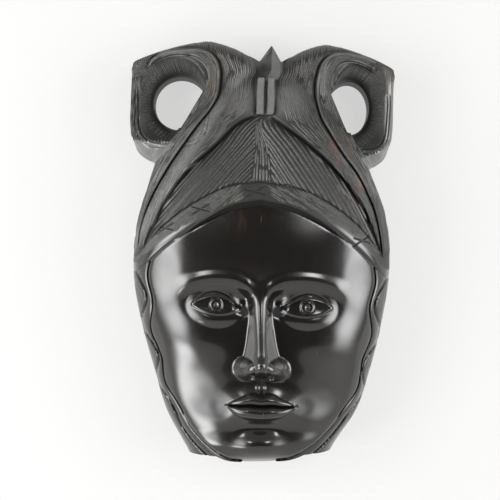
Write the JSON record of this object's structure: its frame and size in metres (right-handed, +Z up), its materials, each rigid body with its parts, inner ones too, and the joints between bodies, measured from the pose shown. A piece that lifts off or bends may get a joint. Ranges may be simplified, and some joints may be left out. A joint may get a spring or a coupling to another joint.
{
  "type": "carved wooden wall mask",
  "caption": "Dark polished hardwood wall mask with a calm face, pleated headdress and pierced scroll lobes, hollow at the back, hung by a recessed swinging steel ring.",
  "frame": {"origin": "hang point: on the wall plane, level with the inside of the raised ring's round top, where the wall nail carries the mask", "axes": "+Z up the mask, +Y out of its back into the wall, the carved front faces -Y, +X to the right as seen from the front"},
  "size_m": [0.2661, 0.113, 0.4172],
  "materials": {
    "carved_wood": "near-black dense hardwood, face polished, hair left from the chisel",
    "hanger_steel": "zinc-plated steel, slightly dulled",
    "screw_steel": "yellow-passivated steel"
  },
  "bodies": {
    "mask": {"mask_carving": "carved_wood", "hanger_strap": "hanger_steel", "screw_upper": "screw_steel", "screw_lower": "screw_steel"},
    "ring": {"hanger_ring": "hanger_steel"}
  },
  "joints": [
    {"name": "ring_swing", "type": "hinge", "parent": "mask", "child": "ring", "pos_m": [0, -0.00435, -0.02095], "axis": [-1, 0, 0], "range_deg": [0, 180]}
  ]
}
